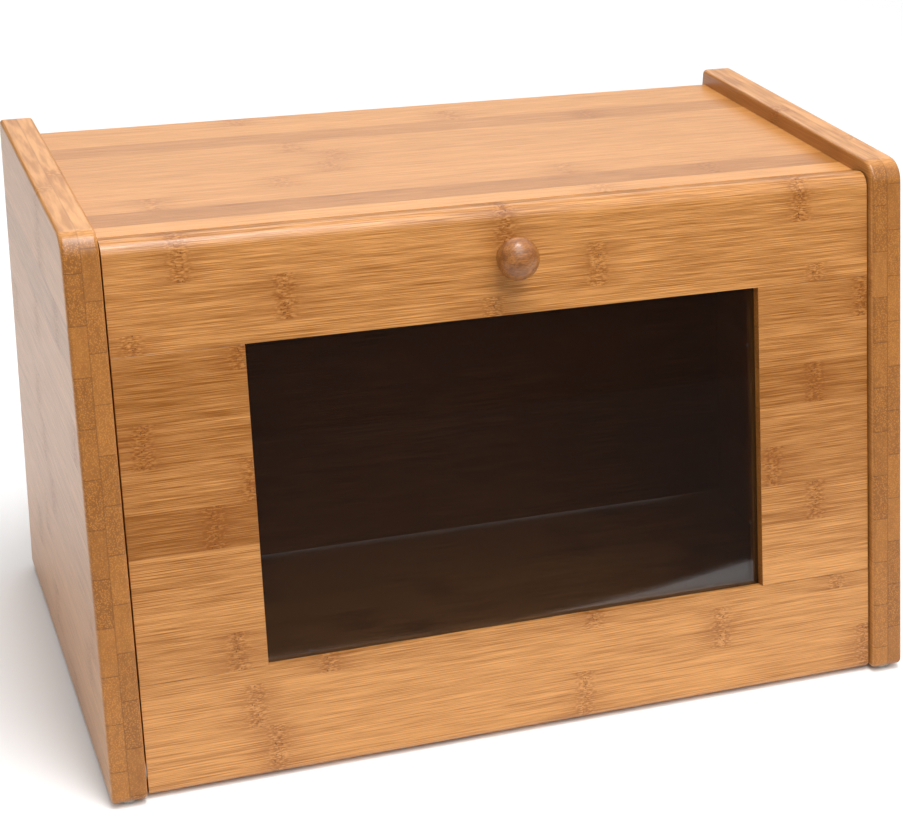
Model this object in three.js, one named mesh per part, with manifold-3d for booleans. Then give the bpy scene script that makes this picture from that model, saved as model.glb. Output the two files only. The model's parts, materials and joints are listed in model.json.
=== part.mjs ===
// Bamboo bread bin with a drop-down window door.
//
// Millimetres, +X to the right, +Y to the back, +Z up. The origin is on the surface that the bin
// stands on, under the middle of its footprint. The front of the bin leans back, so the door,
// which turns on pins at its bottom edge, stays shut by its own weight. The back panel leans the
// same way, while the rear edges of the sides are upright.

import * as THREE from "three";
import { mergeVertices } from "three/addons/utils/BufferGeometryUtils.js";
import Module from "manifold-3d";

const wasm = await Module();
wasm.setup();

// ---------------------------------------------------------------- driving dimensions

const WIDTH = 380; // over both sides
const DEPTH = 225; // of a side, at its foot
const SIDE_HEIGHT = 235.4;
const LEAN = THREE.MathUtils.degToRad(12.4); // of the front and of the back panel

const SIDE_BOARD = 15.4;
const DOOR_BOARD = 14.2;
const SHELF_BOARD = 12; // top and floor panels
const BACK_BOARD = 8;

const FOOT_HEIGHT = 2;
const FOOT_RADIUS = 5;
const FOOT_INSET = 8; // foot's centre from the front or rear edge of a side

const SIDE_EDGE_ROUND = 1.8; // along every edge of a side
const SIDE_TOP_FRONT_ROUND = 11;
const SIDE_TOP_REAR_ROUND = 2.5;
const SIDE_BOTTOM_ROUND = 3;

const TOP_RECESS = 7.4; // from the top of a side down to the top panel
const TOP_REAR_INSET = 4; // from the rear of a side to the top panel's rear edge
const FLOOR_CLEARANCE = 1; // from the foot of a side up to the floor panel
const CLEAR_DEPTH = 142.6; // inside, from the door to the back panel, square to both
const VENT_RISE = 3; // from the floor panel up to the back panel
const GROOVE_DEPTH = 4; // for the back panel, in each side
const GROOVE_CLEARANCE = 0.15;

const DOOR_SETBACK = 3.4; // door's face behind the front edges of the sides, square to the door
const DOOR_SIDE_GAP = 0.9;
const DOOR_BOTTOM_RISE = 0.4; // door's bottom front edge above the foot of a side
const DOOR_STOP_GAP = 0.3; // between the closed door and the top panel's front edge
const TOP_RAIL_HEIGHT = 47.2; // up the slope, as are the next two
const BOTTOM_RAIL_HEIGHT = 48.6;
const WINDOW_HEIGHT = 140.3;
const WINDOW_WIDTH = 236;
const DOOR_TOP_FRONT_ROUND = 6.5;
const DOOR_TOP_REAR_ROUND = 0.8;
const DOOR_BOTTOM_FRONT_ROUND = 2.5;
const DOOR_BOTTOM_REAR_ROUND = 4;
const GLUE_LINE = 0.1;

const REVEAL = 4.5; // door's face to the glass
const RABBET = 7; // width of the step that holds the glass
const GLASS = 3;
const GLASS_EDGE_CLEARANCE = 0.5;
const GLASS_SEAT = 0.1;
const BEAD_PROUD_ROUND = 3;
const BEAD_REAR_INSET = 0.5; // bead's back, below the door's back

const HINGE_RISE = 10; // hinge axis above the door's bottom edge
const HINGE_SETBACK = 6; // hinge axis behind the door's face
const PIN_RADIUS = 2;
const PIN_IN_SIDE = 9;
const PIN_IN_DOOR = 11;
const RUNNING_CLEARANCE = 0.05;
const FIXED_CLEARANCE = 0.1;
const BUSH_RADIUS = 3.5;
const BUSH_LENGTH = 11.6;
const BUSH_FLANGE_RADIUS = 4.8;
const BUSH_FLANGE = 0.6;
const FLOOR_SWING_CLEARANCE = 12; // hinge axis to the floor panel's front edge

const DOWEL_RADIUS = 3;
const DOWEL_LENGTH = 29;
const DOWEL_IN_SIDE = 8.5;
const DOWELS_PER_END = 3;
const DOWEL_END_INSET = 17; // first and last dowel, from the edge of their panel

const MAGNET_RADIUS = 4;
const MAGNET_THICKNESS = 4;
const DISC_RADIUS = 5;
const DISC_THICKNESS = 1.5;
const CATCH_X = 150;
const CATCH_CLEARANCE = 0.3;

const KNOB_PROJECTION = 17.5;
const KNOB_DROP = 21.9; // knob's axis below the top of the door, down the slope
const KNOB_HOLE_DEPTH = 11;
const SCREW_RADIUS = 1.75;
const SCREW_HEAD_RADIUS = 3.8;
const SCREW_HEAD_HEIGHT = 2.2;
const SCREW_IN_KNOB = 10;
const BEAD_PIN_RADIUS = 0.6;
const BEAD_PIN_LENGTH = 13;
const BEAD_PIN_HEAD_RADIUS = 1.1;
const BEAD_PIN_HEAD_HEIGHT = 0.4;
const BEAD_PINS_PER_BEAD = 2;

const ARC_STEP = Math.PI / 16; // largest turn between two points of a rounded corner
const BEVEL_STEPS = 4;
const ROUND_SIDES = 24;
const DOWEL_SIDES = 12;
const BEAD_PIN_SIDES = 8;
const KNOB_SIDES = 28;
const CUT_PAST = 5; // how far a cutter runs past the face that it enters
const MERGE_DISTANCE = 1e-4;

// ---------------------------------------------------------------- derived places

const INNER_X = WIDTH / 2 - SIDE_BOARD;
const REAR_Y = DEPTH / 2;
const FOOT_OF_SIDE_Z = FOOT_HEIGHT;
const TOP_OF_SIDE_Z = FOOT_HEIGHT + SIDE_HEIGHT;

// The sharp front corner of a side stands ahead of its rounded nose, which is the foremost point.
const NOSE_LOSS = SIDE_BOTTOM_ROUND * (1 / Math.tan((Math.PI / 2 - LEAN) / 2) - 1);
const FRONT_Y = -DEPTH / 2 - NOSE_LOSS;

const TOP_FACE_Z = TOP_OF_SIDE_Z - TOP_RECESS;
const TOP_UNDERSIDE_Z = TOP_FACE_Z - SHELF_BOARD;
const TOP_REAR_Y = REAR_Y - TOP_REAR_INSET;
const FLOOR_UNDERSIDE_Z = FOOT_OF_SIDE_Z + FLOOR_CLEARANCE;
const FLOOR_FACE_Z = FLOOR_UNDERSIDE_Z + SHELF_BOARD;

// Depths behind the plane of the sides' front edges, square to it.
const DOOR_REAR = DOOR_SETBACK + DOOR_BOARD;
const BACK_INNER = DOOR_REAR + CLEAR_DEPTH;
const BACK_OUTER = BACK_INNER + BACK_BOARD;

// Y at height z on the leaning plane that lies `behind` the sides' front edges.
function leaningY(behind, z) {
  return FRONT_Y + behind / Math.cos(LEAN) + (z - FOOT_OF_SIDE_Z) * Math.tan(LEAN);
}

const DOOR_BOTTOM_Z = FOOT_OF_SIDE_Z + DOOR_BOTTOM_RISE;
const HINGE_Y =
  leaningY(DOOR_SETBACK, DOOR_BOTTOM_Z) + HINGE_SETBACK * Math.cos(LEAN) + HINGE_RISE * Math.sin(LEAN);
const HINGE_Z = DOOR_BOTTOM_Z - HINGE_SETBACK * Math.sin(LEAN) + HINGE_RISE * Math.cos(LEAN);

const FLOOR_FRONT_Y = HINGE_Y + FLOOR_SWING_CLEARANCE;
const BACK_BOTTOM_Z = FLOOR_FACE_Z + VENT_RISE;
const FLOOR_REAR_Y = leaningY(BACK_OUTER, BACK_BOTTOM_Z);

// The door's own frame: its origin is on the hinge axis, +Y through the door and +Z up the slope.
const FACE_Y = -HINGE_SETBACK;
const BACK_FACE_Y = FACE_Y + DOOR_BOARD;
const DOOR_BOTTOM = -HINGE_RISE;
const WINDOW_BOTTOM = DOOR_BOTTOM + BOTTOM_RAIL_HEIGHT;
const WINDOW_TOP = WINDOW_BOTTOM + WINDOW_HEIGHT;
const DOOR_TOP = WINDOW_TOP + TOP_RAIL_HEIGHT;
const WINDOW_MIDDLE = (WINDOW_TOP + WINDOW_BOTTOM) / 2;
const DOOR_WIDTH = 2 * (INNER_X - DOOR_SIDE_GAP);
const STILE_WIDTH = (DOOR_WIDTH - WINDOW_WIDTH) / 2;
const LEDGE_Y = FACE_Y + REVEAL;
const GLASS_BACK_Y = LEDGE_Y + GLASS_SEAT + GLASS;
const BEAD_WIDTH = RABBET - GLASS_EDGE_CLEARANCE;
const BEAD_BACK_Y = BACK_FACE_Y - BEAD_REAR_INSET;
const KNOB_Z = DOOR_TOP - KNOB_DROP;
const CATCH_Z =
  ((TOP_FACE_Z + TOP_UNDERSIDE_Z) / 2 - HINGE_Z + BACK_FACE_Y * Math.sin(LEAN)) / Math.cos(LEAN);

// ---------------------------------------------------------------- materials

function material(colour, roughness, metalness = 0) {
  return new THREE.MeshStandardMaterial({ color: colour, roughness, metalness });
}

function bamboo(colour) {
  return material(colour, 0.45);
}

const SIDE_BAMBOO = 0xc99466;
const DOOR_BAMBOO = 0xcb9054;
const PANEL_BAMBOO = 0xe0aa7c;
const KNOB_WOOD = 0xb9855a;
const DOWEL_WOOD = 0xd8b88a;
const STEEL = 0xb8babd;

function smokedGlass() {
  const glass = material(0x17110d, 0.05);
  glass.transparent = true;
  glass.opacity = 0.75;
  return glass;
}

// ---------------------------------------------------------------- shape helpers

function point(y, z) {
  return new THREE.Vector2(y, z);
}

// A convex outline, given anticlockwise, with corner i rounded to radii[i].
function roundedOutline(corners, radii) {
  const points = [];
  corners.forEach((corner, i) => {
    const radius = radii[i];
    if (radius === 0) {
      points.push(corner);
      return;
    }
    const before = corners[(i + corners.length - 1) % corners.length];
    const after = corners[(i + 1) % corners.length];
    const toBefore = before.clone().sub(corner).normalize();
    const toAfter = after.clone().sub(corner).normalize();
    const halfAngle = Math.acos(toBefore.dot(toAfter)) / 2;
    const inwards = toBefore.clone().add(toAfter).normalize();
    const centre = corner.clone().addScaledVector(inwards, radius / Math.sin(halfAngle));
    const start = corner.clone().addScaledVector(toBefore, radius / Math.tan(halfAngle));
    const turn = Math.PI - 2 * halfAngle;
    const steps = Math.ceil(turn / ARC_STEP);
    for (let k = 0; k <= steps; k++) {
      points.push(start.clone().rotateAround(centre, (turn * k) / steps));
    }
  });
  return new THREE.Shape(points);
}

const ALONG_X = new THREE.Matrix4().makeBasis(
  new THREE.Vector3(0, 1, 0),
  new THREE.Vector3(0, 0, 1),
  new THREE.Vector3(1, 0, 0),
);

// An outline in Y and Z, extruded along X about x = 0. `round` rounds its edges.
function extrudedAlongX(shape, width, round = 0) {
  const depth = width - 2 * round;
  const geometry = new THREE.ExtrudeGeometry(shape, {
    depth,
    bevelEnabled: round > 0,
    bevelThickness: round,
    bevelSize: round,
    bevelOffset: -round,
    bevelSegments: BEVEL_STEPS,
  });
  return geometry.translate(0, 0, -depth / 2).applyMatrix4(ALONG_X);
}

function box(x0, x1, y0, y1, z0, z1) {
  const geometry = new THREE.BoxGeometry(x1 - x0, y1 - y0, z1 - z0);
  return geometry.translate((x0 + x1) / 2, (y0 + y1) / 2, (z0 + z1) / 2);
}

// A turned piece about X. Each profile point is a radius and a distance along +X.
function turnedAboutX(profile, sides) {
  const points = profile.map(([radius, along]) => point(radius, along));
  return new THREE.LatheGeometry(points, sides).rotateZ(-Math.PI / 2);
}

// A plain rod about X with chamfered ends, from x = 0.
function rod(radius, length, sides, chamfer = 0) {
  const profile = [
    [0, 0],
    [radius - chamfer, 0],
    [radius, chamfer],
    [radius, length - chamfer],
    [radius - chamfer, length],
    [0, length],
  ];
  return turnedAboutX(chamfer > 0 ? profile : [profile[0], profile[2], profile[3], profile[5]], sides);
}

function toSolid(geometry) {
  const plain = geometry.clone();
  plain.deleteAttribute("normal");
  plain.deleteAttribute("uv");
  const merged = mergeVertices(plain, MERGE_DISTANCE);
  const vertProperties = merged.attributes.position.array;
  const triVerts = new Uint32Array(merged.index.array);
  return new wasm.Manifold(new wasm.Mesh({ numProp: 3, vertProperties, triVerts }));
}

function toGeometry(solid) {
  const mesh = solid.getMesh();
  const indexed = new THREE.BufferGeometry();
  indexed.setAttribute("position", new THREE.BufferAttribute(mesh.vertProperties, 3));
  indexed.setIndex(new THREE.BufferAttribute(mesh.triVerts, 1));
  const geometry = indexed.toNonIndexed();
  geometry.computeVertexNormals();
  return geometry;
}

function cut(geometry, cutters) {
  let solid = toSolid(geometry);
  for (const cutter of cutters) {
    solid = solid.subtract(toSolid(cutter));
  }
  return toGeometry(solid);
}

// ---------------------------------------------------------------- scene helpers

const breadBin = new THREE.Group();

// The door's frame, closed: leaning back about the hinge axis.
const door = new THREE.Group();
door.position.set(0, HINGE_Y, HINGE_Z);
door.rotation.x = -LEAN;
breadBin.add(door);

// Pieces of the case that are set square to the lean share the door's frame.
const leaningCase = door.clone();
breadBin.add(leaningCase);

function add(parent, name, geometry, finish, x = 0, y = 0, z = 0) {
  const mesh = new THREE.Mesh(geometry, finish);
  mesh.name = name;
  mesh.position.set(x, y, z);
  parent.add(mesh);
  return mesh;
}

const ENDS = [
  { name: "left", sign: -1 },
  { name: "right", sign: 1 },
];

// Evenly spaced places from `first` to `last`, both included.
function spread(first, last, count) {
  return Array.from({ length: count }, (_, i) => first + ((last - first) * i) / (count - 1));
}

// ---------------------------------------------------------------- dowels

const DOWEL_ROWS = [
  {
    name: "top",
    z: (TOP_FACE_Z + TOP_UNDERSIDE_Z) / 2,
    first: leaningY(DOOR_REAR, TOP_FACE_Z) + DOWEL_END_INSET,
    last: TOP_REAR_Y - DOWEL_END_INSET,
  },
  {
    name: "floor",
    z: (FLOOR_FACE_Z + FLOOR_UNDERSIDE_Z) / 2,
    first: FLOOR_FRONT_Y + DOWEL_END_INSET,
    last: FLOOR_REAR_Y - DOWEL_END_INSET,
  },
];

// Holes for one row of dowels across the joint at the inner face of a side.
function dowelHoles(row, sign) {
  const radius = DOWEL_RADIUS + FIXED_CLEARANCE;
  const length = DOWEL_LENGTH + 1;
  const start = sign * INNER_X - length / 2 + sign * (DOWEL_IN_SIDE - DOWEL_LENGTH / 2);
  return spread(row.first, row.last, DOWELS_PER_END).map((y) =>
    rod(radius, length, DOWEL_SIDES).translate(start, y, row.z),
  );
}

function addDowels(row, end) {
  const middle = end.sign * (INNER_X + DOWEL_IN_SIDE - DOWEL_LENGTH / 2);
  spread(row.first, row.last, DOWELS_PER_END).forEach((y, i) => {
    const dowel = rod(DOWEL_RADIUS, DOWEL_LENGTH, DOWEL_SIDES, 0.8);
    const name = `dowel_${row.name}_${end.name}_${i + 1}`;
    add(breadBin, name, dowel, bamboo(DOWEL_WOOD), middle - DOWEL_LENGTH / 2, y, row.z);
  });
}

// ---------------------------------------------------------------- case

function sideOutline() {
  const corners = [
    point(FRONT_Y, FOOT_OF_SIDE_Z),
    point(REAR_Y, FOOT_OF_SIDE_Z),
    point(REAR_Y, TOP_OF_SIDE_Z),
    point(leaningY(0, TOP_OF_SIDE_Z), TOP_OF_SIDE_Z),
  ];
  const radii = [SIDE_BOTTOM_ROUND, SIDE_BOTTOM_ROUND, SIDE_TOP_REAR_ROUND, SIDE_TOP_FRONT_ROUND];
  return roundedOutline(corners, radii);
}

// The back panel's section, grown by `clearance` where it lies in its groove.
function backOutline(clearance) {
  const inner = BACK_INNER - clearance;
  const outer = BACK_OUTER + clearance;
  const bottom = BACK_BOTTOM_Z - clearance;
  const top = TOP_UNDERSIDE_Z + clearance;
  return new THREE.Shape([
    point(leaningY(inner, bottom), bottom),
    point(leaningY(outer, bottom), bottom),
    point(leaningY(outer, top), top),
    point(leaningY(inner, top), top),
  ]);
}

function sidePanel(sign) {
  const board = extrudedAlongX(sideOutline(), SIDE_BOARD, SIDE_EDGE_ROUND);
  board.translate(sign * (INNER_X + SIDE_BOARD / 2), 0, 0);
  const groove = extrudedAlongX(backOutline(GROOVE_CLEARANCE), 2 * GROOVE_DEPTH);
  groove.translate(sign * INNER_X, 0, 0);
  const pinHole = rod(PIN_RADIUS + FIXED_CLEARANCE, 2 * PIN_IN_SIDE, ROUND_SIDES);
  pinHole.translate(sign * INNER_X - PIN_IN_SIDE, HINGE_Y, HINGE_Z);
  const dowels = DOWEL_ROWS.flatMap((row) => dowelHoles(row, sign));
  return cut(board, [groove, pinHole, ...dowels]);
}

// Turns and moves a cutter from the leaning frame into the bin's own frame.
function fromLeaningFrame(geometry) {
  return geometry.rotateX(-LEAN).translate(0, HINGE_Y, HINGE_Z);
}

function topPanel() {
  const front = DOOR_REAR + DOOR_STOP_GAP;
  const section = new THREE.Shape([
    point(leaningY(front, TOP_UNDERSIDE_Z), TOP_UNDERSIDE_Z),
    point(TOP_REAR_Y, TOP_UNDERSIDE_Z),
    point(TOP_REAR_Y, TOP_FACE_Z),
    point(leaningY(front, TOP_FACE_Z), TOP_FACE_Z),
  ]);
  const pocketLength = MAGNET_THICKNESS + 2 * CATCH_CLEARANCE;
  const pockets = ENDS.map(({ sign }) => {
    const pocket = rod(MAGNET_RADIUS + CATCH_CLEARANCE, pocketLength + CUT_PAST, ROUND_SIDES);
    pocket.rotateZ(Math.PI / 2);
    pocket.translate(sign * CATCH_X, BACK_FACE_Y + DOOR_STOP_GAP - CUT_PAST, CATCH_Z);
    return fromLeaningFrame(pocket);
  });
  const dowels = ENDS.flatMap(({ sign }) => dowelHoles(DOWEL_ROWS[0], sign));
  return cut(extrudedAlongX(section, 2 * INNER_X), [...pockets, ...dowels]);
}

function floorPanel() {
  const board = box(-INNER_X, INNER_X, FLOOR_FRONT_Y, FLOOR_REAR_Y, FLOOR_UNDERSIDE_Z, FLOOR_FACE_Z);
  return cut(
    board,
    ENDS.flatMap(({ sign }) => dowelHoles(DOWEL_ROWS[1], sign)),
  );
}

function backPanel() {
  return extrudedAlongX(backOutline(0), 2 * (INNER_X + GROOVE_DEPTH - GROOVE_CLEARANCE));
}

// A domed bumper pad, standing on z = 0.
function foot() {
  const dome = 0.5;
  const profile = [
    [0, 0],
    [FOOT_RADIUS - 2 * dome, 0],
    [FOOT_RADIUS, dome],
    [FOOT_RADIUS, FOOT_HEIGHT],
    [0, FOOT_HEIGHT],
  ];
  return turnedAboutX(profile, ROUND_SIDES).rotateY(-Math.PI / 2);
}

function addCase() {
  add(breadBin, "side_left", sidePanel(-1), bamboo(SIDE_BAMBOO));
  add(breadBin, "side_right", sidePanel(1), bamboo(SIDE_BAMBOO));
  add(breadBin, "top_panel", topPanel(), bamboo(PANEL_BAMBOO));
  add(breadBin, "floor_panel", floorPanel(), bamboo(PANEL_BAMBOO));
  add(breadBin, "back_panel", backPanel(), bamboo(PANEL_BAMBOO));
  for (const end of ENDS) {
    DOWEL_ROWS.forEach((row) => addDowels(row, end));
    const footX = end.sign * (INNER_X + SIDE_BOARD / 2);
    add(breadBin, `foot_front_${end.name}`, foot(), material(0xb5aea6, 0.3), footX, FRONT_Y + FOOT_INSET);
    add(breadBin, `foot_rear_${end.name}`, foot(), material(0xb5aea6, 0.3), footX, REAR_Y - FOOT_INSET);
  }
}

// ---------------------------------------------------------------- door hinge

function addHinges() {
  for (const { name, sign } of ENDS) {
    const pin = rod(PIN_RADIUS, PIN_IN_SIDE - FIXED_CLEARANCE + DOOR_SIDE_GAP + PIN_IN_DOOR, ROUND_SIDES, 0.4);
    pin.rotateZ(sign > 0 ? Math.PI : 0);
    const pinStart = sign * (INNER_X + PIN_IN_SIDE - FIXED_CLEARANCE);
    add(breadBin, `hinge_pin_${name}`, pin, material(STEEL, 0.3, 1), pinStart, HINGE_Y, HINGE_Z);
    add(door, `hinge_bush_${name}`, hingeBush(sign), material(0xe8e4da, 0.5));
  }
}

// A flanged bush let into the end of the bottom rail. Its flats clear the pin's corners.
function hingeBush(sign) {
  const bore = (PIN_RADIUS + RUNNING_CLEARANCE) / Math.cos(Math.PI / ROUND_SIDES);
  const profile = [
    [bore, -BUSH_FLANGE],
    [BUSH_FLANGE_RADIUS, -BUSH_FLANGE],
    [BUSH_FLANGE_RADIUS, 0],
    [BUSH_RADIUS, 0],
    [BUSH_RADIUS, BUSH_LENGTH],
    [bore, BUSH_LENGTH],
    [bore, -BUSH_FLANGE],
  ];
  const bush = turnedAboutX(profile, ROUND_SIDES);
  return bush.rotateZ(sign > 0 ? Math.PI : 0).translate((sign * DOOR_WIDTH) / 2, 0, 0);
}

function bushHole(sign) {
  const length = BUSH_LENGTH + FIXED_CLEARANCE + CUT_PAST;
  const hole = rod(BUSH_RADIUS + FIXED_CLEARANCE, length, ROUND_SIDES);
  return hole.rotateZ(sign > 0 ? Math.PI : 0).translate(sign * (DOOR_WIDTH / 2 + CUT_PAST), 0, 0);
}

// ---------------------------------------------------------------- door frame and glass

// The stepped seat for the glass, cut from behind out of all four boards of the door.
function glassSeat() {
  const reach = WINDOW_WIDTH / 2 + RABBET;
  const low = WINDOW_BOTTOM - RABBET;
  const high = WINDOW_TOP + RABBET;
  return box(-reach, reach, LEDGE_Y, BACK_FACE_Y + CUT_PAST, low, high);
}

function bottomRail() {
  const corners = [
    point(FACE_Y, DOOR_BOTTOM),
    point(BACK_FACE_Y, DOOR_BOTTOM),
    point(BACK_FACE_Y, WINDOW_BOTTOM),
    point(FACE_Y, WINDOW_BOTTOM),
  ];
  const outline = roundedOutline(corners, [DOOR_BOTTOM_FRONT_ROUND, DOOR_BOTTOM_REAR_ROUND, 0, 0]);
  const pins = beadPinHoles(BEADS.bottom);
  return cut(extrudedAlongX(outline, DOOR_WIDTH), [glassSeat(), bushHole(-1), bushHole(1), ...pins]);
}

function topRail() {
  const corners = [
    point(FACE_Y, WINDOW_TOP),
    point(BACK_FACE_Y, WINDOW_TOP),
    point(BACK_FACE_Y, DOOR_TOP),
    point(FACE_Y, DOOR_TOP),
  ];
  const outline = roundedOutline(corners, [0, 0, DOOR_TOP_REAR_ROUND, DOOR_TOP_FRONT_ROUND]);
  const screwHole = rod(SCREW_RADIUS + FIXED_CLEARANCE, DOOR_BOARD + 2 * CUT_PAST, ROUND_SIDES);
  screwHole.rotateZ(Math.PI / 2).translate(0, FACE_Y - CUT_PAST, KNOB_Z);
  const discPockets = ENDS.map(({ sign }) => {
    const depth = DISC_THICKNESS + CATCH_CLEARANCE;
    const pocket = rod(DISC_RADIUS + FIXED_CLEARANCE, depth + CUT_PAST, ROUND_SIDES);
    return pocket.rotateZ(Math.PI / 2).translate(sign * CATCH_X, BACK_FACE_Y - depth, CATCH_Z);
  });
  const pins = beadPinHoles(BEADS.top);
  return cut(extrudedAlongX(outline, DOOR_WIDTH), [glassSeat(), screwHole, ...discPockets, ...pins]);
}

function stile(sign) {
  const outer = (sign * DOOR_WIDTH) / 2;
  const inner = sign * (DOOR_WIDTH / 2 - STILE_WIDTH);
  const low = WINDOW_BOTTOM + GLUE_LINE;
  const high = WINDOW_TOP - GLUE_LINE;
  const block = box(Math.min(outer, inner), Math.max(outer, inner), FACE_Y, BACK_FACE_Y, low, high);
  const pins = beadPinHoles(sign < 0 ? BEADS.left : BEADS.right);
  return cut(block, [glassSeat(), ...pins]);
}

function glassPane() {
  const reach = WINDOW_WIDTH / 2 + BEAD_WIDTH;
  const low = WINDOW_BOTTOM - BEAD_WIDTH;
  const high = WINDOW_TOP + BEAD_WIDTH;
  return box(-reach, reach, LEDGE_Y + GLASS_SEAT, GLASS_BACK_Y, low, high);
}

// Where each glazing bead runs, and which way its pins are driven: away from the window's middle.
const BEADS = {
  top: { turn: 0, edge: WINDOW_HEIGHT / 2, length: WINDOW_WIDTH + 2 * BEAD_WIDTH },
  bottom: { turn: Math.PI, edge: WINDOW_HEIGHT / 2, length: WINDOW_WIDTH + 2 * BEAD_WIDTH },
  left: { turn: -Math.PI / 2, edge: WINDOW_WIDTH / 2, length: WINDOW_HEIGHT - 2 * GLUE_LINE },
  right: { turn: Math.PI / 2, edge: WINDOW_WIDTH / 2, length: WINDOW_HEIGHT - 2 * GLUE_LINE },
};

// Turns a shape drawn for the top of the window to the bead's own side, and moves it to the window.
function toBeadSide(geometry, bead) {
  return geometry.rotateY(bead.turn).translate(0, 0, WINDOW_MIDDLE);
}

function beadPinPlaces(bead) {
  const reach = bead.length / 2 - RABBET * 4;
  return spread(-reach, reach, BEAD_PINS_PER_BEAD);
}

function beadPinShape(radius, length) {
  return rod(radius, length, BEAD_PIN_SIDES).rotateY(-Math.PI / 2);
}

const BEAD_MIDDLE_Y = (GLASS_BACK_Y + GLASS_SEAT + BEAD_BACK_Y) / 2;

function beadPinHoles(bead) {
  return beadPinPlaces(bead).map((x) => {
    const hole = beadPinShape(BEAD_PIN_RADIUS + FIXED_CLEARANCE, BEAD_PIN_LENGTH + CUT_PAST);
    const start = bead.edge - CUT_PAST + FIXED_CLEARANCE;
    return toBeadSide(hole.translate(x, BEAD_MIDDLE_Y, start), bead);
  });
}

function glazingBead(bead) {
  const corners = [
    point(GLASS_BACK_Y + GLASS_SEAT, bead.edge),
    point(BEAD_BACK_Y, bead.edge),
    point(BEAD_BACK_Y, bead.edge + BEAD_WIDTH),
    point(GLASS_BACK_Y + GLASS_SEAT, bead.edge + BEAD_WIDTH),
  ];
  const outline = roundedOutline(corners, [0, BEAD_PROUD_ROUND, 0, 0]);
  const strip = toBeadSide(extrudedAlongX(outline, bead.length), bead);
  return cut(strip, beadPinHoles(bead));
}

// A pin whose head bears on the bead's inner edge.
function beadPin(bead, x) {
  const profile = [
    [0, -BEAD_PIN_HEAD_HEIGHT],
    [BEAD_PIN_HEAD_RADIUS, -BEAD_PIN_HEAD_HEIGHT],
    [BEAD_PIN_HEAD_RADIUS, 0],
    [BEAD_PIN_RADIUS, 0],
    [BEAD_PIN_RADIUS, BEAD_PIN_LENGTH - 1],
    [0, BEAD_PIN_LENGTH],
  ];
  const pin = turnedAboutX(profile, BEAD_PIN_SIDES).rotateY(-Math.PI / 2);
  return toBeadSide(pin.translate(x, BEAD_MIDDLE_Y, bead.edge - GLASS_SEAT), bead);
}

function addDoorFrame() {
  add(door, "door_rail_bottom", bottomRail(), bamboo(DOOR_BAMBOO));
  add(door, "door_rail_top", topRail(), bamboo(DOOR_BAMBOO));
  add(door, "door_stile_left", stile(-1), bamboo(DOOR_BAMBOO));
  add(door, "door_stile_right", stile(1), bamboo(DOOR_BAMBOO));
  add(door, "window_glass", glassPane(), smokedGlass());
  let pinNumber = 0;
  for (const [name, bead] of Object.entries(BEADS)) {
    add(door, `bead_${name}`, glazingBead(bead), bamboo(DOOR_BAMBOO));
    for (const x of beadPinPlaces(bead)) {
      pinNumber += 1;
      add(door, `bead_pin_${pinNumber}`, beadPin(bead, x), material(STEEL, 0.35, 1));
    }
  }
}

// ---------------------------------------------------------------- knob and catch

// A turned ball knob on a short neck, bored from behind for its screw. Its base is at x = 0.
function knob() {
  const hole = SCREW_RADIUS + FIXED_CLEARANCE;
  const neck = [
    [6.2, 0],
    [6.2, 0.8],
    [5.4, 1.9],
    [5.6, 3],
  ];
  const ballRadius = 9.3;
  const ballCentre = 9.8;
  const ballHalfLength = KNOB_PROJECTION - ballCentre;
  const ball = [];
  const ballSteps = 10;
  const firstAngle = THREE.MathUtils.degToRad(-50);
  for (let k = 0; k <= ballSteps; k++) {
    const angle = firstAngle + ((Math.PI / 2 - firstAngle) * k) / ballSteps;
    const radius = k === ballSteps ? 0 : ballRadius * Math.cos(angle);
    ball.push([radius, ballCentre + ballHalfLength * Math.sin(angle)]);
  }
  return turnedAboutX([[0, KNOB_HOLE_DEPTH], [hole, KNOB_HOLE_DEPTH], [hole, 0], ...neck, ...ball], KNOB_SIDES);
}

// A pan-head screw with a cross recess. Its head's seat is at x = 0 and its point at +X.
function knobScrew() {
  const length = DOOR_BOARD + SCREW_IN_KNOB;
  const profile = [
    [0, -SCREW_HEAD_HEIGHT],
    [SCREW_HEAD_RADIUS * 0.6, -SCREW_HEAD_HEIGHT],
    [SCREW_HEAD_RADIUS, -SCREW_HEAD_HEIGHT * 0.5],
    [SCREW_HEAD_RADIUS, 0],
    [SCREW_RADIUS, 0],
    [SCREW_RADIUS, length - 3],
    [0, length],
  ];
  const recessDepth = 1.2;
  const arm = 1.8;
  const slot = 0.45;
  const floor = -SCREW_HEAD_HEIGHT + recessDepth;
  return cut(turnedAboutX(profile, ROUND_SIDES), [
    box(-SCREW_HEAD_HEIGHT - CUT_PAST, floor, -arm, arm, -slot, slot),
    box(-SCREW_HEAD_HEIGHT - CUT_PAST, floor, -slot, slot, -arm, arm),
  ]);
}

function addKnob() {
  const seat = 0.05;
  const turned = add(door, "knob", knob(), bamboo(KNOB_WOOD), 0, FACE_Y - seat, KNOB_Z);
  turned.rotation.z = -Math.PI / 2;
  const screw = add(door, "knob_screw", knobScrew(), material(STEEL, 0.3, 1), 0, BACK_FACE_Y + seat, KNOB_Z);
  screw.rotation.z = -Math.PI / 2;
}

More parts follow.
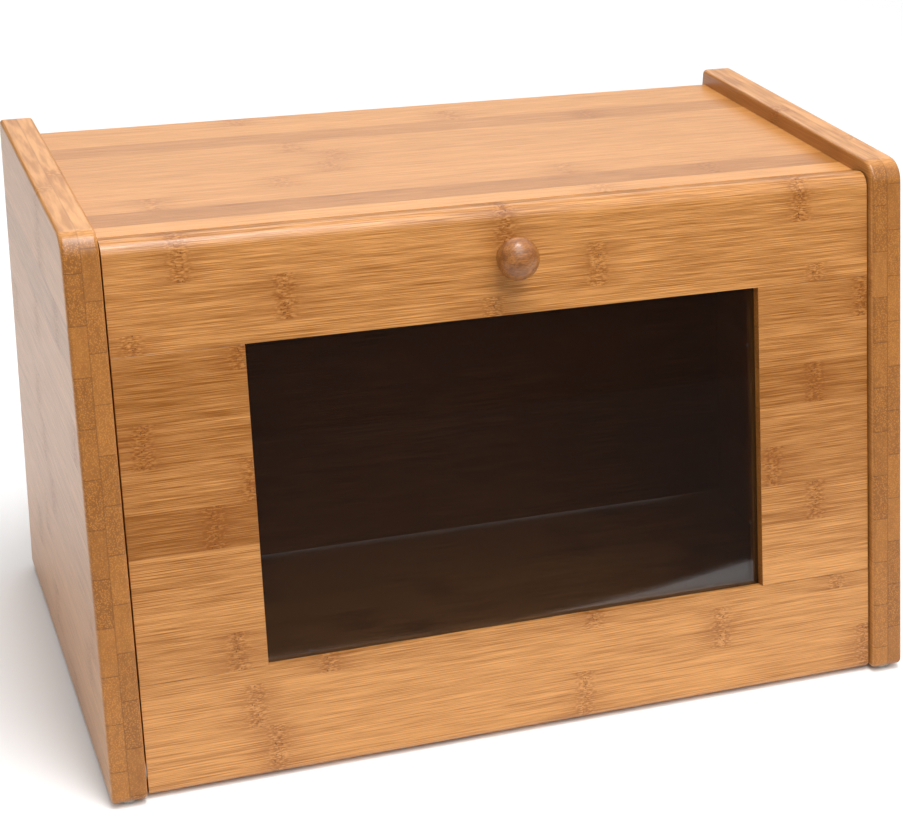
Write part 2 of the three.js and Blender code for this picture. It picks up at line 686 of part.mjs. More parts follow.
function addCatch() {
  for (const { name, sign } of ENDS) {
    const magnet = rod(MAGNET_RADIUS, MAGNET_THICKNESS, ROUND_SIDES, 0.3).rotateZ(Math.PI / 2);
    const magnetY = BACK_FACE_Y + DOOR_STOP_GAP + CATCH_CLEARANCE;
    add(leaningCase, `catch_magnet_${name}`, magnet, material(STEEL, 0.2, 1), sign * CATCH_X, magnetY, CATCH_Z);
    const disc = rod(DISC_RADIUS, DISC_THICKNESS, ROUND_SIDES, 0.3).rotateZ(Math.PI / 2);
    const discY = BACK_FACE_Y - DISC_THICKNESS - CATCH_CLEARANCE / 2;
    add(door, `strike_disc_${name}`, disc, material(STEEL, 0.35, 1), sign * CATCH_X, discY, CATCH_Z);
  }
}

addCase();
addHinges();
addDoorFrame();
addKnob();
addCatch();

export default breadBin;
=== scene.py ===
"""Looks for the bamboo bread bin: edges, materials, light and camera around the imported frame."""

import json
import math
import random
from dataclasses import dataclass

import bpy
from mathutils import Matrix, Vector

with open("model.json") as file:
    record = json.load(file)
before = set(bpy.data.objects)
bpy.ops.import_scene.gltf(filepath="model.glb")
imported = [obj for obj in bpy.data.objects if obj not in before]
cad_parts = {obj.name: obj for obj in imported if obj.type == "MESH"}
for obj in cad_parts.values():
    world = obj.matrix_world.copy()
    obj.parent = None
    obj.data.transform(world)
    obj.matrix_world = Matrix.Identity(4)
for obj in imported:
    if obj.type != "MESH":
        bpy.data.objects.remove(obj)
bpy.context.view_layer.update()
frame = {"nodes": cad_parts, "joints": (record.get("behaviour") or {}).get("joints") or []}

MM = 0.001

# ---------------------------------------------------------------- facts about the bin

LEAN = math.radians(12.4)  # of the door and of the back panel
HINGE = Vector(frame["joints"][0]["pos_m"])

DOOR_BOARDS = ("door_rail_top", "door_rail_bottom", "door_stile_left", "door_stile_right")
BEADS = ("bead_top", "bead_bottom", "bead_left", "bead_right")
ROUND_METAL = ("knob_screw", "hinge_pin_left", "hinge_pin_right", "strike_disc_left", "strike_disc_right")


# ---------------------------------------------------------------- material graphs


class Graph:
    """A material's node tree, with short calls for the nodes that the looks are made of."""

    def __init__(self, name):
        self.material = bpy.data.materials.new(name)
        self.material.use_nodes = True
        self.tree = self.material.node_tree
        self.tree.nodes.clear()
        self.output = self.tree.nodes.new("ShaderNodeOutputMaterial")

    def node(self, kind, inputs=None, **settings):
        made = self.tree.nodes.new(kind)
        for setting, value in settings.items():
            setattr(made, setting, value)
        for socket, value in (inputs or {}).items():
            self.feed(made.inputs[socket], value)
        return made

    def feed(self, socket, value):
        if isinstance(value, Signal):
            self.tree.links.new(value.socket, socket)
        else:
            socket.default_value = value

    def signal(self, node, output=0):
        return Signal(self, node.outputs[output])

    def coordinate(self, source):
        """Three signals: the object's coordinates ("Object") or its faces' direction ("Normal")."""
        return self.axes(self.signal(self.node("ShaderNodeTexCoord"), source))

    def axes(self, vector):
        parts = self.node("ShaderNodeSeparateXYZ", {0: vector})
        return [self.signal(parts, i) for i in range(3)]

    def math(self, operation, *values):
        made = self.node("ShaderNodeMath", dict(enumerate(values)), operation=operation)
        return self.signal(made)

    def vector(self, x, y, z):
        return self.signal(self.node("ShaderNodeCombineXYZ", {"X": x, "Y": y, "Z": z}))

    def noise(self, place, scale=1.0, detail=2.0, roughness=0.5, distortion=0.0):
        inputs = {
            "Vector": place,
            "Scale": scale,
            "Detail": detail,
            "Roughness": roughness,
            "Distortion": distortion,
        }
        return self.signal(self.node("ShaderNodeTexNoise", inputs, noise_dimensions="3D"))

    def cells(self, place, scale=1.0, randomness=1.0):
        """Distance to the nearest of a scatter of points."""
        inputs = {"Vector": place, "Scale": scale, "Randomness": randomness}
        return self.signal(self.node("ShaderNodeTexVoronoi", inputs), "Distance")

    def step(self, value, low, high):
        """0 below `low`, 1 above `high`, smooth between."""
        inputs = {"Value": value, "From Min": low, "From Max": high}
        made = self.node("ShaderNodeMapRange", inputs, interpolation_type="SMOOTHSTEP")
        return self.signal(made)

    def mix(self, factor, first, second):
        """Blends two colours, each a Signal or an (r, g, b)."""
        made = self.node("ShaderNodeMix", {0: factor}, data_type="RGBA")
        self.feed(made.inputs[6], opaque(first))
        self.feed(made.inputs[7], opaque(second))
        return self.signal(made, 2)

    def clamp(self, value):
        return self.signal(self.node("ShaderNodeClamp", {"Value": value}))

    def lookup(self, index, rows):
        """Row number `index` of a short table of up to 32 rows of three numbers from 0 to 1."""
        place = (index + 0.5) / len(rows)
        ramp = self.node("ShaderNodeValToRGB", {"Fac": place})
        ramp.color_ramp.interpolation = "CONSTANT"
        elements = ramp.color_ramp.elements
        while len(elements) < len(rows):
            elements.new(1.0)
        for i, row in enumerate(rows):
            elements[i].position = i / len(rows)
        for i, row in enumerate(rows):
            elements[i].color = (*row, 1.0)
        parts = self.node("ShaderNodeSeparateColor", {0: self.signal(ramp)})
        return [self.signal(parts, i) for i in range(3)]

    def bump(self, height, depth):
        """A normal for a height from 0 to 1 that stands for `depth` metres."""
        inputs = {"Height": height, "Distance": depth, "Strength": 1.0}
        return self.signal(self.node("ShaderNodeBump", inputs))

    def surface(self, **inputs):
        """Ends the graph in a Principled surface. An input's name has _ for each space."""
        sockets = {name.replace("_", " "): value for name, value in inputs.items()}
        colour = sockets.get("Base Color")
        if colour is not None:
            sockets["Base Color"] = opaque(colour)
        shader = self.node("ShaderNodeBsdfPrincipled", sockets)
        self.tree.links.new(shader.outputs[0], self.output.inputs["Surface"])
        return self.material


class Signal:
    """A node's output, which can be added, multiplied and so on like a number."""

    def __init__(self, graph, socket):
        self.graph = graph
        self.socket = socket

    def __add__(self, other):
        return self.graph.math("ADD", self, other)

    def __sub__(self, other):
        return self.graph.math("SUBTRACT", self, other)

    def __mul__(self, other):
        return self.graph.math("MULTIPLY", self, other)

    def __truediv__(self, other):
        return self.graph.math("DIVIDE", self, other)

    def __rsub__(self, other):
        return self.graph.math("SUBTRACT", other, self)

    __radd__ = __add__
    __rmul__ = __mul__


def opaque(colour):
    return colour if isinstance(colour, Signal) else (*colour, 1.0)


# ---------------------------------------------------------------- bamboo boards


@dataclass
class Board:
    """A board glued up from bamboo strips.

    `axes` names the bin's axes that run along the grain, across the strips and through the board.
    On a leaning board they are the door's axes. `cut_off` is how much of the first strip, counted
    from the board's far edge, was sawn away. Each strip has a tone from 0 to 1, the distance of
    its first knuckle from the board's near end, and the distance between knuckles, in metres.
    `contrast` is that of the fibres and knuckles.
    """

    nodes: tuple
    axes: str
    leaning: bool
    pitch: float
    cut_off: float
    strips: list
    contrast: float = 1.0
    plies: int = 1


def board_place(axes, leaning, point):
    """A point in metres along, across and through a board."""
    if leaning:
        point = Matrix.Rotation(LEAN, 3, "X") @ (point - HINGE)
    return Vector([point["XYZ".index(axis)] for axis in axes])


def board_extent(board):
    """The lowest and highest corner of a board, in its own axes."""
    corners = [
        board_place(board.axes, board.leaning, vertex.co)
        for node in board.nodes
        for vertex in frame["nodes"][node].data.vertices
    ]
    lowest = Vector([min(corner[i] for corner in corners) for i in range(3)])
    highest = Vector([max(corner[i] for corner in corners) for i in range(3)])
    return lowest, highest


def board_axes(graph, board, source, is_direction=False):
    """Signals along, across and through the board, from a texture coordinate."""
    vector = graph.signal(graph.node("ShaderNodeTexCoord"), source)
    if board.leaning:
        centre = Vector() if is_direction else HINGE
        inputs = {"Vector": vector, "Angle": LEAN, "Center": centre}
        vector = graph.signal(graph.node("ShaderNodeVectorRotate", inputs, rotation_type="X_AXIS"))
        if not is_direction:
            inputs = {0: vector, 1: HINGE}
            vector = graph.signal(graph.node("ShaderNodeVectorMath", inputs, operation="SUBTRACT"))
    parts = graph.axes(vector)
    return [parts["XYZ".index(axis)] for axis in board.axes]


LONGEST_INTERNODE = 0.3  # the knuckle spacing that a strip's 1.0 stands for
GLUE_LINE = 0.10 * MM
GLUE_SEEP = 0.38 * MM  # how far the glue darkens the open pores of a sawn end
PLY_STAGGER = 0.45  # of a strip, between the two plies of a side
PALE = (0.70, 0.325, 0.098)
DARK = (0.25, 0.079, 0.004)
BROWN = (0.25, 0.070, 0.003)  # around knuckles
PORE = (0.095, 0.027, 0.003)
END_DARK = (0.155, 0.045, 0.003)
END_PALE = (0.48, 0.190, 0.034)

# length, width and depth of one wave of each kind of figure, and a shift that keeps the kinds apart
BROAD_BANDS = (85 * MM, 4 * MM, 9 * MM, 1.3)
STREAKS = (60 * MM, 0.8 * MM, 5 * MM, 0.0)
FIBRES = (24 * MM, 0.23 * MM, 3 * MM, 5.9)
CRINKLES = (2.2 * MM, 0.6 * MM, 2 * MM, 8.3)
FIBRE_RELIEF = 0.03 * MM

KNUCKLE_WANDER = 5 * MM  # along the grain, across one strip
HALO_REACH = 40 * MM  # of the ragged brown halo to each side of a knuckle, at the very most
CORE_REACH = 11 * MM  # of the crinkled fibres, likewise
PORE_ALONG = 1.4 * MM  # from pore to pore
PORE_ACROSS = 1.3 * MM
BUNDLE_ACROSS = 0.72 * MM  # from one fibre bundle to the next in a sawn end
BUNDLE_THROUGH = 0.66 * MM
MOTTLE_ACROSS = 9 * MM  # the size of the pale and dark clouds in a sawn end
MOTTLE_THROUGH = 3 * MM


class Grain:
    """Signals that say where a point lies in a board: its strip, and its place along and across it."""

    def __init__(self, graph, board):
        self.graph = graph
        self.along, self.across, self.through = board_axes(graph, board, "Object")
        lowest, highest = board_extent(board)
        self.from_end = self.along - lowest.x
        strips_in = (highest.y + board.cut_off - self.across) / board.pitch
        self.ply_glue = 0.0
        if board.plies == 2:
            middle = (lowest.z + highest.z) / 2
            ply = graph.step(self.through, middle - 0.01 * MM, middle + 0.01 * MM)
            strips_in = strips_in + ply * (len(board.strips) // 2 + PLY_STAGGER)
            to_ply_line = graph.math("ABSOLUTE", self.through - middle)
            self.ply_glue = 1.0 - graph.step(to_ply_line, 0.5 * GLUE_SEEP, GLUE_SEEP)
        self.strip = graph.math("FLOOR", strips_in)
        part = strips_in - self.strip
        edge = graph.math("MINIMUM", part, 1.0 - part) * board.pitch
        self.glue = 1.0 - graph.step(edge, 0.4 * GLUE_LINE, 1.6 * GLUE_LINE)
        self.end_glue = 1.0 - graph.step(edge, 0.3 * GLUE_SEEP, GLUE_SEEP)
        self.tone, self.first_knuckle, self.internode = graph.lookup(self.strip, strip_rows(board))

    def noise(self, length, width, depth=None, shift=0.0, **settings):
        """Noise stretched along the grain, different in every strip."""
        layer = self.strip * 7.31 + shift
        if depth is not None:
            layer = layer + self.through / depth
        place = self.graph.vector(self.along / length, self.across / width, layer)
        return self.graph.noise(place, **settings)

    def streaks(self, length, width, depth, shift=0.0):
        """Streaks from 0 to 1 with plain pale and plain dark parts."""
        waves = self.noise(length, width, depth, shift, detail=2.0, roughness=0.6)
        return self.graph.step(waves, 0.33, 0.67)


def knuckle_marks(graph, grain):
    """The brown halo, the crinkled core and the dark pores of a strip's knuckles, each from 0 to 1."""
    wander = graph.noise(graph.vector(0.0, grain.across / (3.5 * MM), grain.strip), detail=1.0) - 0.5
    offset = grain.from_end - grain.first_knuckle * LONGEST_INTERNODE + wander * KNUCKLE_WANDER
    half = grain.internode * (LONGEST_INTERNODE / 2)
    apart = graph.math("ABSOLUTE", graph.math("WRAP", offset, half, half * -1.0))
    ragged = grain.noise(12 * MM, 0.9 * MM, shift=2.7, detail=2.0, roughness=0.7)
    patchy = graph.step(grain.noise(30 * MM, 6 * MM, shift=4.1, detail=1.0), 0.30, 0.62)
    halo = (1.0 - graph.step(apart, 1.0 * MM, ragged * HALO_REACH)) * (0.45 + patchy * 0.55)
    core = 1.0 - graph.step(apart, 1.5 * MM, 2.0 * MM + ragged * CORE_REACH)
    spots = graph.cells(graph.vector(grain.along / PORE_ALONG, grain.across / PORE_ACROSS, grain.strip))
    row = 1.0 - graph.step(apart, 0.8 * MM, 1.4 * MM + patchy * (2.0 * MM))
    pores = (1.0 - graph.step(spots, 0.14, 0.30)) * row
    return halo, core, pores


def end_grain(graph, grain):
    """The colour of sawn ends, and how dark it is between the pale fibre bundles, from 0 to 1.

    Some strips are paler or more speckled than others.
    """
    bundles = graph.vector(grain.strip, grain.across / BUNDLE_ACROSS, grain.through / BUNDLE_THROUGH)
    between = graph.step(graph.cells(bundles), 0.20, 0.55)
    clouds = graph.vector(grain.strip, grain.across / MOTTLE_ACROSS, grain.through / MOTTLE_THROUGH)
    mottle = graph.noise(clouds, detail=2.0) - 0.5
    tone = graph.step(graph.noise(graph.vector(grain.strip * 5.3, 2.5, 0.5), detail=0.0), 0.36, 0.64)
    speckle = graph.step(graph.noise(graph.vector(grain.strip * 3.7, 0.5, 0.5), detail=0.0), 0.35, 0.60)
    shade = 0.61 + tone * 0.22 + mottle * 0.4 - (between - 0.6) * (0.35 + speckle * 0.3)
    return graph.mix(graph.clamp(shade), END_DARK, END_PALE), between


def bamboo(name, board):
    """Laminated bamboo under satin lacquer: strips, fibres, knuckles, glue lines and end grain."""
    graph = Graph(name)
    grain = Grain(graph, board)
    halo, core, pores = knuckle_marks(graph, grain)

    broad = grain.noise(*BROAD_BANDS, detail=2.0) - 0.5
    streaks = grain.streaks(*STREAKS) - 0.5
    fibres = grain.streaks(*FIBRES) - 0.5
    crinkle = grain.streaks(*CRINKLES) * 1.3 - 0.75
    fine = fibres + (crinkle - fibres) * (core * 0.75)
    marks = broad * 0.5 + streaks * (0.14 - core * 0.1) + fine * 0.72
    wood = graph.mix(graph.clamp(grain.tone + marks * board.contrast), DARK, PALE)
    wood = graph.mix(halo * (0.44 - fine * 0.4) * board.contrast, wood, BROWN)
    wood = graph.mix(pores * (0.80 * board.contrast), wood, PORE)

    end_facing = graph.math("ABSOLUTE", board_axes(graph, board, "Normal", is_direction=True)[0])
    sawn = graph.step(end_facing, 0.40, 0.78)
    end_colour, between = end_grain(graph, grain)
    wood = graph.mix(sawn, wood, end_colour)
    joint = grain.glue * 0.10 + grain.end_glue * sawn * 0.42
    if board.plies == 2:
        joint = graph.math("MAXIMUM", joint, grain.ply_glue * (0.22 + sawn * 0.13))
    wood = graph.mix(joint, wood, PORE)

    roughness = 0.33 - fine * 0.05 + halo * 0.03 + sawn * 0.08
    relief = (fibres * 0.5 + streaks * 0.3) * (1.0 - sawn) * (1.0 - core)
    relief = relief - pores * 0.2 - sawn * between * 0.4
    return graph.surface(
        Base_Color=wood,
        Roughness=roughness,
        Normal=graph.bump(relief * board.contrast - grain.glue * 0.4, FIBRE_RELIEF),
        IOR=1.5,
        Coat_Weight=0.08,
        Coat_Roughness=0.16,
    )


def strip_rows(board):
    """A board's strips for a lookup, whose numbers run from 0 to 1."""
    longest = LONGEST_INTERNODE
    return [(tone, first / longest, gap / longest) for tone, first, gap in board.strips]


def random_strips(count, seed, low=0.35, high=0.7):
    """Made-up strips, for a board whose own strips can't be told apart in the photo."""
    draw = random.Random(seed)
    return [
        (draw.uniform(low, high), draw.uniform(0.01, 0.15), draw.uniform(0.12, 0.2)) for _ in range(count)
    ]


def strips_mm(*rows):
    return [(tone, first * MM, gap * MM) for tone, first, gap in rows]


BOARDS = {
    "bamboo_rail_top": Board(
        ("door_rail_top",), "XZY", True, 19.4 * MM, 0.0,
        strips_mm((0.52, 31, 141), (0.45, 74, 140), (0.52, 165, 156)),
    ),
    "bamboo_rail_bottom": Board(
        ("door_rail_bottom",), "XZY", True, 19.6 * MM, 12.6 * MM,
        strips_mm((0.56, 83, 124), (0.68, 49, 221), (0.72, 57, 144)),
    ),
    "bamboo_stile_left": Board(
        ("door_stile_left",), "XZY", True, 18.75 * MM, 8.4 * MM,
        strips_mm(
            (0.22, 53, 290), (0.19, 120, 290), (0.28, 10, 290), (0.33, 55, 290),
            (0.06, 37, 290), (0.41, 110, 290), (0.49, 120, 290), (0.49, 43, 290),
        ),
    ),
    "bamboo_stile_right": Board(
        ("door_stile_right",), "XZY", True, 18.7 * MM, 0.4 * MM,
        strips_mm(
            (0.33, 53, 290), (0.38, 120, 290), (0.17, 28, 290), (0.33, 110, 290),
            (0.32, 6, 290), (0.45, 28, 290), (0.58, 120, 290), (0.70, 100, 290),
        ),
    ),
    "bamboo_top": Board(
        ("top_panel",), "XYZ", False, 16.2 * MM, 4.0 * MM,
        strips_mm(
            (0.58, 95, 290), (0.60, 200, 290), (0.36, 267, 290), (0.55, 110, 290), (0.54, 127, 290),
            (0.56, 120, 290), (0.60, 92, 290), (0.54, 32, 190), (0.28, 286, 299), (0.72, 226, 290),
        ), 0.6,
    ),
    # The floor panel's strips get random tones set paler than the other boards': painted light, for the
    # light that falls through the window onto it.
    "bamboo_floor_painted_light": Board(
        ("floor_panel",), "XYZ", False, 18.6 * MM, 5.0 * MM, random_strips(9, 11, 0.6, 0.75),
    ),
    # The back panel's strips get random tones set far darker than the other boards': painted shade, for
    # the dim inside of the bin.
    "bamboo_back_painted_shade": Board(
        ("back_panel",), "XZY", True, 18.8 * MM, 3.0 * MM, random_strips(12, 23, 0.05, 0.2),
    ),
    "bamboo_side_left": Board(
        ("side_left",), "YZX", False, 20.6 * MM, 6.0 * MM, random_strips(26, 5, 0.40, 0.62), 0.55, 2,
    ),
    "bamboo_side_right": Board(
        ("side_right",), "YZX", False, 20.6 * MM, 2.0 * MM, random_strips(26, 8, 0.40, 0.62), 0.55, 2,
    ),
    "bamboo_bead_level": Board(
        ("bead_top", "bead_bottom"), "XZY", True, 200 * MM, 0.0, random_strips(1, 3),
    ),
    "bamboo_bead_upright": Board(
        ("bead_left", "bead_right"), "ZXY", True, 300 * MM, 0.0, random_strips(1, 4),
    ),
}


# ---------------------------------------------------------------- the other materials


def object_place(graph, *scales):
    """Object coordinates with each axis divided by its own length in millimetres."""
    place = graph.coordinate("Object")
    return graph.vector(*[part / (scale * MM) for part, scale in zip(place, scales)])


def turned_wood():
    """The knob: turned bamboo, pinkish brown, with fine fibres and a clear lacquer."""
    graph = Graph("knob_bamboo")
    fibres = graph.noise(object_place(graph, 3, 0.5, 0.45), detail=2.0, roughness=0.6)
    fibres = graph.step(fibres, 0.38, 0.62)
    bands = graph.step(graph.noise(object_place(graph, 14, 4, 2.4), detail=1.0), 0.3, 0.7)
    wood = graph.mix(bands, (0.27, 0.088, 0.014), (0.44, 0.162, 0.032))
    wood = graph.mix(fibres * 0.6, wood, (0.14, 0.046, 0.010))
    return graph.surface(
        Base_Color=wood,
        Roughness=0.34 + fibres * 0.08,
        Normal=graph.bump(fibres, 0.05 * MM),
        IOR=1.5,
        Coat_Weight=0.25,
        Coat_Roughness=0.12,
    )


def smoked_glass():
    """Dark bronze glass, with faint dust and polishing haze in its roughness.

    The front face carries the whole tint, so that light isn't filtered again at the back face. The
    index stands for the reflections of both faces together.
    """
    graph = Graph("smoked_glass")
    haze = graph.noise(object_place(graph, 60, 60, 60), detail=3.0)
    dust = graph.noise(object_place(graph, 1.3, 1.3, 1.3), detail=2.0)
    tint = graph.mix(haze, (0.006, 0.003, 0.002), (0.009, 0.005, 0.003))
    facing = graph.coordinate("Normal")
    forward = graph.step(facing[1] * -1.0, 0.4, 0.6)
    return graph.surface(
        Base_Color=tint,
        Roughness=0.02 + haze * 0.015 + graph.step(dust, 0.62, 0.8) * 0.03,
        Alpha=0.03 + forward * 0.60,
        IOR=1.75,
    )


def plated_steel():
    """Zinc plate: fine scratches and a faint cloudy bloom."""
    graph = Graph("plated_steel")
    bloom = graph.noise(object_place(graph, 3, 3, 3), detail=3.0)
    scratches = graph.noise(object_place(graph, 0.15, 2.5, 0.4), detail=2.0, roughness=0.7)
    colour = graph.mix(bloom, (0.52, 0.53, 0.55), (0.72, 0.73, 0.74))
    return graph.surface(
        Base_Color=colour,
        Metallic=1.0,
        Roughness=0.24 + bloom * 0.12 + (scratches - 0.5) * 0.14,
        Normal=graph.bump(scratches, 0.01 * MM),
    )


def nickel_plate():
    graph = Graph("nickel_plate")
    smears = graph.noise(object_place(graph, 4, 4, 4), detail=4.0, distortion=0.4)
    colour = graph.mix(smears, (0.62, 0.61, 0.58), (0.78, 0.77, 0.74))
    return graph.surface(
        Base_Color=colour,
        Metallic=1.0,
        Roughness=0.1 + smears * 0.16,
        Normal=graph.bump(smears, 0.01 * MM),
    )


def nylon():
    graph = Graph("nylon")
    cloud = graph.noise(object_place(graph, 2.5, 2.5, 2.5), detail=3.0)
    grain = graph.noise(object_place(graph, 0.25, 0.25, 0.25), detail=2.0)
    colour = graph.mix(cloud, (0.70, 0.68, 0.61), (0.82, 0.80, 0.74))
    return graph.surface(
        Base_Color=colour,
        Roughness=0.42 + grain * 0.14,
        Normal=graph.bump(grain, 0.02 * MM),
        Subsurface_Weight=0.15,
        Subsurface_Radius=(1.0 * MM, 0.9 * MM, 0.8 * MM),
    )


def clear_pad():
    """Soft clear plastic with dust in patches."""
    graph = Graph("clear_pad")
    dust = graph.noise(object_place(graph, 0.9, 0.9, 0.9), detail=4.0)
    colour = graph.mix(graph.step(dust, 0.4, 0.75), (0.58, 0.55, 0.50), (0.38, 0.35, 0.31))
    return graph.surface(
        Base_Color=colour,
        Roughness=0.22 + dust * 0.2,
        Normal=graph.bump(dust, 0.02 * MM),
        Transmission_Weight=0.35,
        IOR=1.49,
    )


def dowel_wood():
    graph = Graph("dowel_wood")
    fibres = graph.noise(object_place(graph, 8, 0.5, 0.5), detail=3.0, roughness=0.6)
    colour = graph.mix(graph.step(fibres, 0.3, 0.7), (0.50, 0.34, 0.18), (0.70, 0.53, 0.33))
    return graph.surface(
        Base_Color=colour,
        Roughness=0.6 + fibres * 0.1,
        Normal=graph.bump(fibres, 0.05 * MM),
    )


def dress(nodes, material):
    for name in nodes:
        mesh = frame["nodes"][name].data
        mesh.materials.clear()
        mesh.materials.append(material)


def nodes_named(*starts):
    return [name for name in frame["nodes"] if name.startswith(starts)]


def dress_everything():
    for name, board in BOARDS.items():
        dress(board.nodes, bamboo(name, board))
    dress(["knob"], turned_wood())
    dress(["window_glass"], smoked_glass())
    dress([*ROUND_METAL, *nodes_named("bead_pin")], plated_steel())
    dress(nodes_named("catch_magnet"), nickel_plate())
    dress(nodes_named("hinge_bush"), nylon())
    dress(nodes_named("foot_"), clear_pad())
    dress(nodes_named("dowel_"), dowel_wood())


# ---------------------------------------------------------------- edges

SHARP = math.radians(35)
FLAT = math.radians(0.6)
WELD = 0.002 * MM
EASED = {  # node and the width of its eased edges
    "floor_panel": 0.6 * MM,
    "back_panel": 0.6 * MM,
    "top_panel": 0.3 * MM,
    "window_glass": 0.3 * MM,
    **{name: 0.3 * MM for name in BEADS},
    **{name: 0.35 * MM for name in DOOR_BOARDS},
}
SMALL_EASE = 0.15 * MM


def soften(name, width, segments=3):
    """Eases a node's sharp edges, and shades its round ones smoothly without bending its flats."""
    piece = frame["nodes"][name]
    for polygon in piece.data.polygons:
        polygon.use_smooth = True
    weld = piece.modifiers.new("weld", "WELD")
    weld.merge_threshold = WELD
    clean = piece.modifiers.new("join flats", "DECIMATE")
    clean.decimate_type = "DISSOLVE"
    clean.angle_limit = FLAT
    ease = piece.modifiers.new("ease edges", "BEVEL")
    ease.limit_method = "ANGLE"
    ease.angle_limit = SHARP
    ease.width = width
    ease.segments = segments
    ease.use_clamp_overlap = True
    ease.miter_outer = "MITER_ARC"
    keep = piece.modifiers.new("keep flats flat", "WEIGHTED_NORMAL")
    keep.keep_sharp = True
    keep.weight = 100


def soften_everything():
    for name in frame["nodes"]:
        if name in EASED:
            soften(name, EASED[name])
        else:
            soften(name, SMALL_EASE, 2)


# ---------------------------------------------------------------- studio

CAMERA_PLACE = Vector((-294.3, -806.4, 499.3)) * MM
CAMERA_YAW = math.radians(-19.94)
CAMERA_PITCH = math.radians(-24.47)
CAMERA_ROLL = math.radians(-1.37)
CAMERA_LENS = 78.9
SENSOR = 36


def add_camera():
    data = bpy.data.cameras.new("camera")
    data.sensor_width = SENSOR
    data.lens = CAMERA_LENS
    data.clip_start = 0.01
    data.clip_end = 50
    camera = bpy.data.objects.new("camera", data)
    bpy.context.scene.collection.objects.link(camera)
    aim = (
        Matrix.Rotation(CAMERA_YAW, 4, "Z")
        @ Matrix.Rotation(CAMERA_PITCH, 4, "X")
        @ Matrix.Rotation(CAMERA_ROLL, 4, "Y")
        @ Matrix.Rotation(math.pi / 2, 4, "X")
    )
    camera.matrix_world = Matrix.Translation(CAMERA_PLACE) @ aim
    bpy.context.scene.camera = camera


def add_softbox(name, place, target, width, depth, power):
    data = bpy.data.lights.new(name, "AREA")
    data.shape = "RECTANGLE"
    data.size = width
    data.size_y = depth
    data.energy = power
    light = bpy.data.objects.new(name, data)
    bpy.context.scene.collection.objects.link(light)
    light.location = place
    light.rotation_euler = (Vector(target) - Vector(place)).to_track_quat("-Z", "Y").to_euler()
    light.visible_camera = False


def add_flat(name, outline, height, colour):
    """A level matt surface of the set."""
    mesh = bpy.data.meshes.new(name)
    mesh.from_pydata([(x, y, height) for x, y in outline], [], [list(range(len(outline)))])
    flat = bpy.data.objects.new(name, mesh)
    bpy.context.scene.collection.objects.link(flat)
    graph = Graph(name)
    mesh.materials.append(graph.surface(Base_Color=colour, Roughness=0.9))
    return flat


FLOOR_RADIUS = 6.0
FLOOR_SIDES = 96


def add_floor():
    turns = [2 * math.pi * i / FLOOR_SIDES for i in range(FLOOR_SIDES)]
    rim = [(FLOOR_RADIUS * math.cos(turn), FLOOR_RADIUS * math.sin(turn)) for turn in turns]
    add_flat("floor", rim, 0.0, (0.92, 0.92, 0.92))


# x and y of the dark room's near edge. Its bend shapes the pale sliver low in the glass.
DARK_ROOM_EDGE = ((-9.0, -0.50), (0.0, -0.48), (0.13, -0.47), (0.24, -0.51), (0.37, -0.60), (9.0, -6.7))


def add_dark_room():
    """The unlit room in front of the table. Only reflections meet it, so the glass stays dark."""
    outline = [*DARK_ROOM_EDGE, (9.0, -9.0), (-9.0, -9.0)]
    card = add_flat("dark_room", outline[::-1], 0.5 * MM, (0.01, 0.01, 0.01))
    card.visible_camera = False
    card.visible_diffuse = False
    card.visible_transmission = False
    card.visible_shadow = False


# the low and high end of a direction's upward (or rightward) part, and the brightness at each
SKY_RISE = (0.10, 0.55, 0.03, 0.92)
SKY_SIDE = (-0.8, 0.4, 0.50, 1.0)
BACKDROP = 0.76


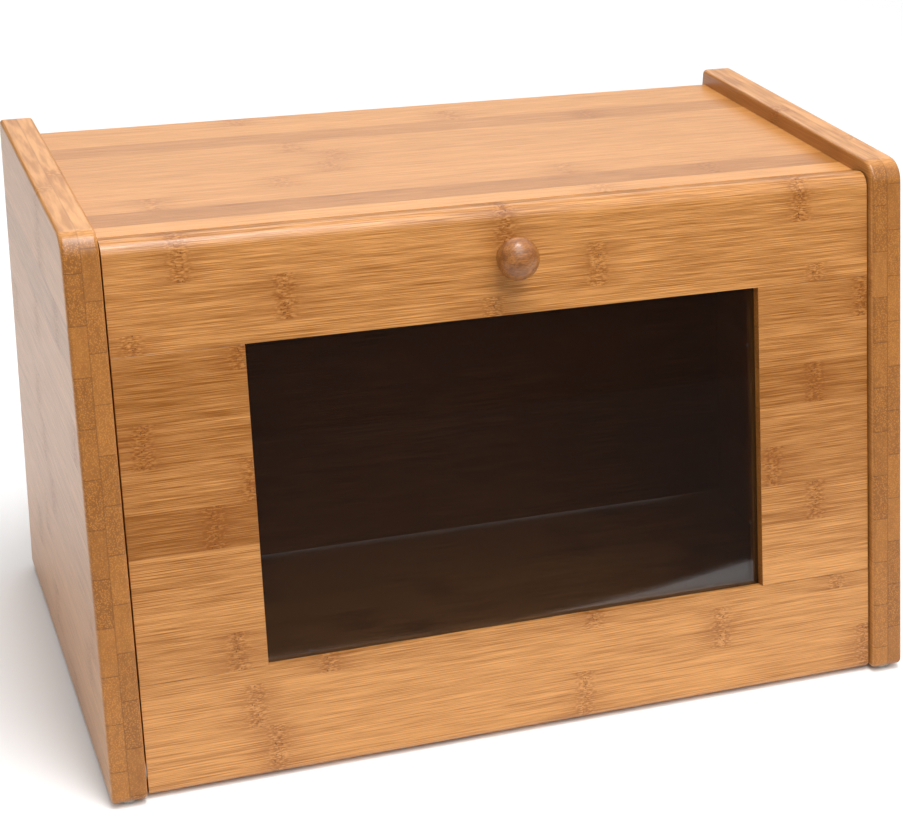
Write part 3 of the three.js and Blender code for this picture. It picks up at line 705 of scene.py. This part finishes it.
def add_world():
    """A white sweep to the eye. As light it is a soft ceiling, dim at the horizon and to the left."""
    world = bpy.data.worlds.new("studio")
    bpy.context.scene.world = world
    world.use_nodes = True
    tree = world.node_tree
    tree.nodes.clear()

    def node(kind, **settings):
        made = tree.nodes.new(kind)
        for setting, value in settings.items():
            setattr(made, setting, value)
        return made

    def rise(source, low, high, bottom, top):
        made = node("ShaderNodeMapRange", interpolation_type="SMOOTHSTEP")
        for socket, value in (("From Min", low), ("From Max", high), ("To Min", bottom), ("To Max", top)):
            made.inputs[socket].default_value = value
        tree.links.new(source, made.inputs["Value"])
        return made.outputs[0]

    place = node("ShaderNodeTexCoord")
    parts = node("ShaderNodeSeparateXYZ")
    tree.links.new(place.outputs["Generated"], parts.inputs[0])
    ceiling = rise(parts.outputs["Z"], *SKY_RISE)
    rightwards = rise(parts.outputs["X"], *SKY_SIDE)
    strength = node("ShaderNodeMath", operation="MULTIPLY")
    tree.links.new(ceiling, strength.inputs[0])
    tree.links.new(rightwards, strength.inputs[1])
    light = node("ShaderNodeBackground")
    tree.links.new(strength.outputs[0], light.inputs["Strength"])
    white = node("ShaderNodeBackground")
    for background in (light, white):
        background.inputs["Color"].default_value = (1, 1, 1, 1)
    white.inputs["Strength"].default_value = BACKDROP
    path = node("ShaderNodeLightPath")
    mix = node("ShaderNodeMixShader")
    output = node("ShaderNodeOutputWorld")
    tree.links.new(path.outputs["Is Camera Ray"], mix.inputs[0])
    tree.links.new(light.outputs[0], mix.inputs[1])
    tree.links.new(white.outputs[0], mix.inputs[2])
    tree.links.new(mix.outputs[0], output.inputs[0])


# name, place, target, width and depth, all in metres, and power in watts
SOFTBOXES = (
    ("overhead", (0.05, -0.20, 1.5), (0, 0, 0.1), 0.5, 0.5, 11.2),
    ("key", (0.05, -0.85, 1.45), (0, 0, 0.1), 1.0, 0.8, 9.2),
    ("foreground", (0.5, -2.7, 1.9), (0.5, -2.5, 0), 3.0, 1.6, 12),
    ("behind", (0.68, 1.85, 1.10), (0, 0, 0.2), 1.8, 1.1, 3.6),
    ("backdrop", (0.0, 2.6, 1.9), (0, 2.4, 0), 3.0, 1.6, 14),
)


def light_studio():
    add_world()
    add_floor()
    add_dark_room()
    for softbox in SOFTBOXES:
        add_softbox(*softbox)
    bpy.context.scene.view_settings.view_transform = "Standard"


add_camera()
soften_everything()
dress_everything()
light_studio()
